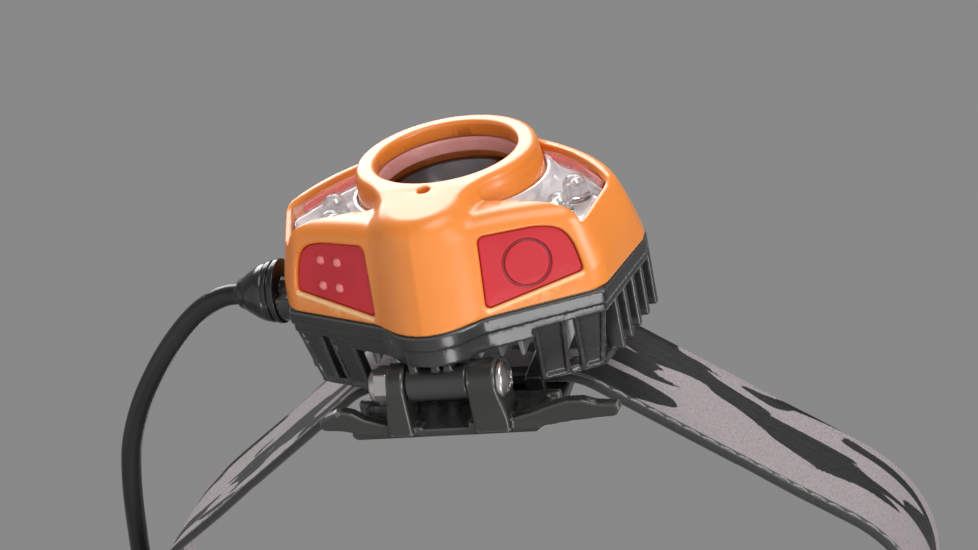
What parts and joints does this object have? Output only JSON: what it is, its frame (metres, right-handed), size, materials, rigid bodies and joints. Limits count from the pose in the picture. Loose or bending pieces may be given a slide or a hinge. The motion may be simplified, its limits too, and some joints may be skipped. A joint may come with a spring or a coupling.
{
  "type": "headlamp",
  "caption": "Headlamp with a tilting orange lamp head, ring-framed main lens, side lights, two red buttons, elastic headband, rear battery pack and cable.",
  "frame": {"origin": "centre of the head loop, half way up the headband", "axes": "+Z is the wearer's up, the lamp faces -Y, the battery pack is at +Y, +X is the wearer's left"},
  "size_m": [0.1887, 0.2621, 0.0741],
  "materials": {
    "shell_orange": "satin moulded",
    "seal_black": "matt",
    "housing_grey": "satin moulded",
    "fin_aluminium": "satin",
    "clear_lens": "polished",
    "gasket_red": "satin",
    "reflector_chrome": "mirror",
    "emitter_yellow": "matt",
    "board_white": "satin",
    "board_green": "satin",
    "led_clear": "polished",
    "led_red": "polished",
    "switch_grey": "matt",
    "screw_steel": "bright",
    "button_red": "satin",
    "bracket_grey": "satin moulded",
    "cable_black": "gloss",
    "clip_black": "satin",
    "pad_foam": "matt",
    "strap_elastic": "woven",
    "pack_black": "satin moulded",
    "cell_silver": "satin",
    "contact_nickel": "bright"
  },
  "bodies": {
    "headband": {"bracket": "bracket_grey", "hinge_bolt": "screw_steel", "hinge_nut": "screw_steel", "forehead_pad": "pad_foam", "power_cable": "cable_black", "cable_clips": "clip_black", "strap_front": "strap_elastic", "strap_left": "strap_elastic", "strap_right": "strap_elastic", "strap_rear": "strap_elastic", "pack_case": "pack_black", "pack_seal": "seal_black", "cell_1": "cell_silver", "cell_2": "cell_silver", "cell_3": "cell_silver", "cell_4": "cell_silver", "contact_plates": "contact_nickel", "contact_springs": "contact_nickel", "pack_gland": "cable_black", "pack_boot": "cable_black", "door_pin": "screw_steel"},
    "button_left": {"button_left": "button_red"},
    "button_right": {"button_right": "button_red"},
    "adjuster_left": {"adjuster_left": "clip_black"},
    "adjuster_right": {"adjuster_right": "clip_black"},
    "pack_door": {"pack_door": "pack_black"},
    "door_screw": {"door_screw": "screw_steel"},
    "lamp": {"front_shell": "shell_orange", "housing_seal": "seal_black", "rear_housing": "housing_grey", "heat_sink": "fin_aluminium", "main_lens": "clear_lens", "window_left": "clear_lens", "window_right": "clear_lens", "lens_gasket": "gasket_red", "window_gasket_left": "gasket_red", "window_gasket_right": "gasket_red", "main_reflector": "reflector_chrome", "side_reflector_left": "reflector_chrome", "side_reflector_right": "reflector_chrome", "main_emitter": "emitter_yellow", "emitter_board": "board_white", "circuit_board": "board_green", "side_leds_left": "led_clear", "side_leds_right": "led_clear", "indicator_led": "led_red", "switch_left": "switch_grey", "switch_right": "switch_grey", "housing_screws": "screw_steel", "board_screws": "screw_steel", "gland_nut": "cable_black", "cable_boot": "cable_black"}
  },
  "joints": [
    {"name": "lamp_tilt", "type": "hinge", "parent": "headband", "child": "lamp", "pos_m": [0, -0.1057, -0.031], "axis": [1, 0, 0], "range_deg": [0, 60]},
    {"name": "left_button_press", "type": "slide", "parent": "lamp", "child": "button_left", "axis": [0.3884, 0.1736, 0.905], "range_m": [0, 0.0008], "stiffness_N_per_m": 1500},
    {"name": "right_button_press", "type": "slide", "parent": "lamp", "child": "button_right", "axis": [-0.3884, 0.1736, 0.905], "range_m": [0, 0.0008], "stiffness_N_per_m": 1500},
    {"name": "left_adjuster_slide", "type": "slide", "parent": "headband", "child": "adjuster_left", "axis": [0, 1, 0], "range_m": [-0.012, 0.012]},
    {"name": "right_adjuster_slide", "type": "slide", "parent": "headband", "child": "adjuster_right", "axis": [0, 1, 0], "range_m": [-0.012, 0.012]},
    {"name": "pack_door_swing", "type": "hinge", "parent": "headband", "child": "pack_door", "pos_m": [0, 0.1174, 0.0333], "axis": [1, 0, 0], "range_deg": [0, 100]},
    {"name": "door_screw_turn", "type": "hinge", "parent": "pack_door", "child": "door_screw", "pos_m": [0, 0.118, -0.0346], "axis": [0, 1, 0], "continuous": true}
  ]
}
